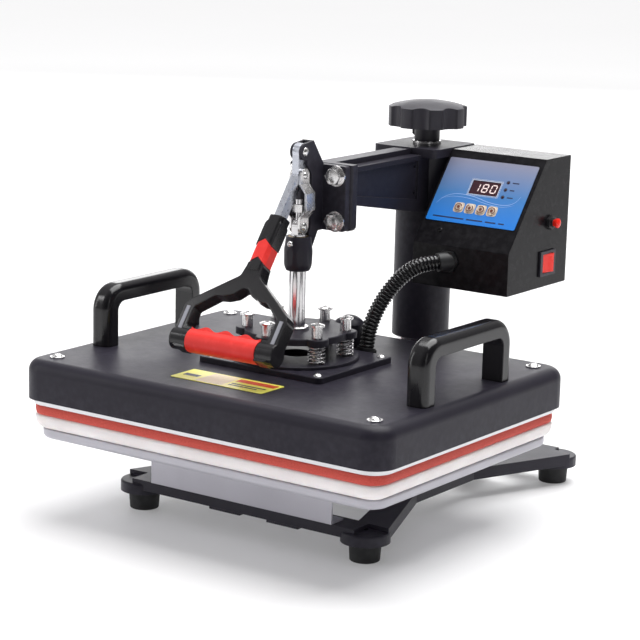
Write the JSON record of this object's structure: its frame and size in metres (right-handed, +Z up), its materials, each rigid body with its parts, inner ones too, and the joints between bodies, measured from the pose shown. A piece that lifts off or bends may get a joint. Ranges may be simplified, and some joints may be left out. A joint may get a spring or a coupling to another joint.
{
  "type": "swing-away heat press",
  "caption": "Swing-away heat press with a flat rectangular heated platen, toggle clamp with D-shaped handle, column with height knob and side control box.",
  "frame": {"origin": "on the floor, in the middle of the overall length and width", "axes": "+Y from the operator's side to the column at the back, +X to the operator's right, +Z up"},
  "size_m": [0.3904, 0.4344, 0.3627],
  "materials": {
    "cast_black": "satin",
    "rubber_black": "matte",
    "zinc_steel": "polished",
    "sheet_silver": "satin",
    "shell_black": "satin",
    "pad_white": "matte",
    "pad_red": "matte",
    "chrome_tube": "polished",
    "bare_steel": "machined",
    "knob_black": "satin",
    "bush_brass": "machined",
    "lever_steel": "satin",
    "handle_black": "semi-gloss",
    "handle_red": "satin",
    "inlay_grey": "satin",
    "plate_aluminium": "machined",
    "element_steel": "satin",
    "gland_black": "satin",
    "conduit_black": "semi-gloss",
    "box_black": "satin",
    "panel_blue": "semi-gloss",
    "display_dark": "gloss",
    "key_cream": "satin",
    "rocker_red": "gloss",
    "notice_yellow": "semi-gloss"
  },
  "bodies": {
    "base": {"base_casting": "cast_black", "rubber_feet": "rubber_black", "base_screws": "zinc_steel", "riser_channel": "sheet_silver", "lower_plate": "sheet_silver", "white_pad": "pad_white", "red_pad": "pad_red", "inner_post": "chrome_tube", "post_nut": "bare_steel"},
    "lift_collar": {"thrust_collar": "zinc_steel"},
    "knob": {"pressure_screw": "bare_steel", "knob_stem": "knob_black", "knob_cap": "knob_black"},
    "arm": {"arm_casting": "cast_black", "sleeve_tube": "shell_black", "toggle_bracket": "cast_black", "bracket_bolts": "zinc_steel", "guide_bush": "bush_brass", "lever_pin": "zinc_steel", "upper_gland": "gland_black", "box_shell": "box_black", "box_lid": "box_black", "box_screws": "box_black", "inlet_socket": "knob_black", "box_bracket": "cast_black", "membrane_panel": "panel_blue", "display_module": "display_dark", "rocker_frame": "knob_black", "reset_collar": "gland_black", "conduit": "conduit_black"},
    "lever": {"lever_bar": "lever_steel", "handle_frame": "handle_black", "handle_band": "handle_red", "handle_inlays": "inlay_grey", "handle_grip": "handle_red"},
    "heater": {"square_plate": "shell_black", "ring_plate": "shell_black", "spring_bolts": "zinc_steel", "pressure_springs": "chrome_tube", "heater_cover": "shell_black", "platen_screws": "zinc_steel", "heating_plate": "plate_aluminium", "heating_element": "element_steel", "side_handle_left": "handle_black", "side_handle_right": "handle_black", "notice_plate": "notice_yellow", "lower_gland": "gland_black", "sensor_housing": "shell_black"},
    "shaft": {"press_shaft": "chrome_tube", "shaft_rivet": "zinc_steel", "float_disc": "shell_black", "shaft_nuts": "zinc_steel"},
    "links": {"link_plates": "zinc_steel", "link_rivets": "zinc_steel"},
    "rocker": {"rocker_cap": "rocker_red"},
    "reset": {"reset_button": "rocker_red"},
    "key_button_1": {"key_1": "key_cream"},
    "key_button_2": {"key_2": "key_cream"},
    "key_button_3": {"key_3": "key_cream"},
    "key_button_4": {"key_4": "key_cream"}
  },
  "joints": [
    {"name": "height_slide", "type": "slide", "parent": "base", "child": "lift_collar", "axis": [0, 0, 1], "range_m": [0, 0.012]},
    {"name": "knob_turn", "type": "hinge", "parent": "lift_collar", "child": "knob", "pos_m": [0, 0.14, 0.35], "axis": [0, 0, 1], "range_deg": [0, 1440.5]},
    {"name": "arm_swing", "type": "hinge", "parent": "lift_collar", "child": "arm", "pos_m": [0, 0.14, 0.3], "axis": [0, 0, 1], "range_deg": [-180, 180]},
    {"name": "handle_lever", "type": "hinge", "parent": "arm", "child": "lever", "pos_m": [0, -0.065, 0.334], "axis": [-1, 0, 0], "range_deg": [0, 90]},
    {"name": "heater_lift", "type": "slide", "parent": "arm", "child": "heater", "axis": [0, 0, 1], "range_m": [0, 0.01621], "deforming": ["conduit"]},
    {"name": "platen_float", "type": "slide", "parent": "heater", "child": "shaft", "axis": [0, 0, 1], "range_m": [0, 0.01001], "deforming": ["pressure_springs"]},
    {"name": "link_pivot", "type": "hinge", "parent": "shaft", "child": "links", "pos_m": [0, -0.065, 0.268], "axis": [1, 0, 0], "range_deg": [0, 27.83]},
    {"name": "power_rocker", "type": "hinge", "parent": "arm", "child": "rocker", "pos_m": [0.1368, 0.134, 0.225], "axis": [0, 0, 1], "range_deg": [0, 14]},
    {"name": "reset_push", "type": "slide", "parent": "arm", "child": "reset", "axis": [-1, 0, 0], "range_m": [0, 0.002], "stiffness_N_per_m": 300},
    {"name": "key_push_1", "type": "slide", "parent": "arm", "child": "key_button_1", "axis": [0, 0.7907, -0.6122], "range_m": [0, 0.0006], "stiffness_N_per_m": 500},
    {"name": "key_push_2", "type": "slide", "parent": "arm", "child": "key_button_2", "axis": [0, 0.7907, -0.6122], "range_m": [0, 0.0006], "stiffness_N_per_m": 500},
    {"name": "key_push_3", "type": "slide", "parent": "arm", "child": "key_button_3", "axis": [0, 0.7907, -0.6122], "range_m": [0, 0.0006], "stiffness_N_per_m": 500},
    {"name": "key_push_4", "type": "slide", "parent": "arm", "child": "key_button_4", "axis": [0, 0.7907, -0.6122], "range_m": [0, 0.0006], "stiffness_N_per_m": 500}
  ],
  "couplings": [
    {"joint": "knob_turn", "follows": "height_slide", "rad_per_m": 2094.4},
    {"joint": "heater_lift", "follows": "handle_lever", "m_per_rad": 0.010314},
    {"joint": "platen_float", "follows": "handle_lever", "m_per_rad": 0.0063662},
    {"joint": "link_pivot", "follows": "handle_lever", "ratio": 0.30909}
  ]
}
